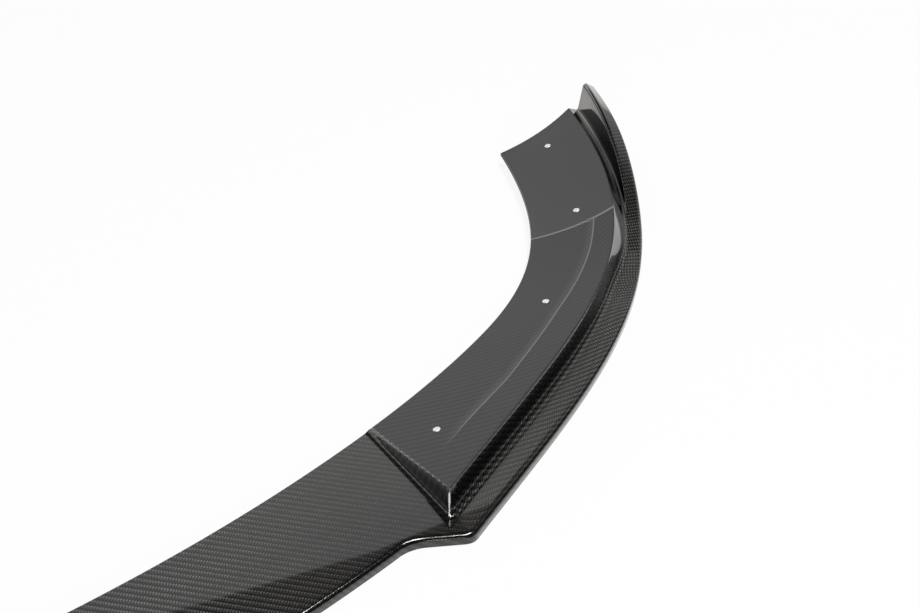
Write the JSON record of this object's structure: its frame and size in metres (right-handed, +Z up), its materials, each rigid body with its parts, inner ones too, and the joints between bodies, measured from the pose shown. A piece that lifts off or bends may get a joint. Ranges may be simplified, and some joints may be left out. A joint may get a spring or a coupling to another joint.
{
  "type": "front splitter lip",
  "caption": "One-piece moulded carbon fibre lip for a car's front bumper: flat centre blade, toothed steps, banked side seats with blind rivets and rear fins.",
  "frame": {"origin": "middle of the lip's box, on the ground under its rim", "axes": "+X across the car, -Y to the front, +Z up"},
  "size_m": [1.84, 0.524, 0.0654],
  "materials": {
    "carbon": "clear-coated twill carbon fibre, satin on the seats",
    "aluminium": "bright"
  },
  "bodies": {
    "root": {"lip_moulding": "carbon", "blind_rivets": "aluminium"}
  },
  "joints": []
}
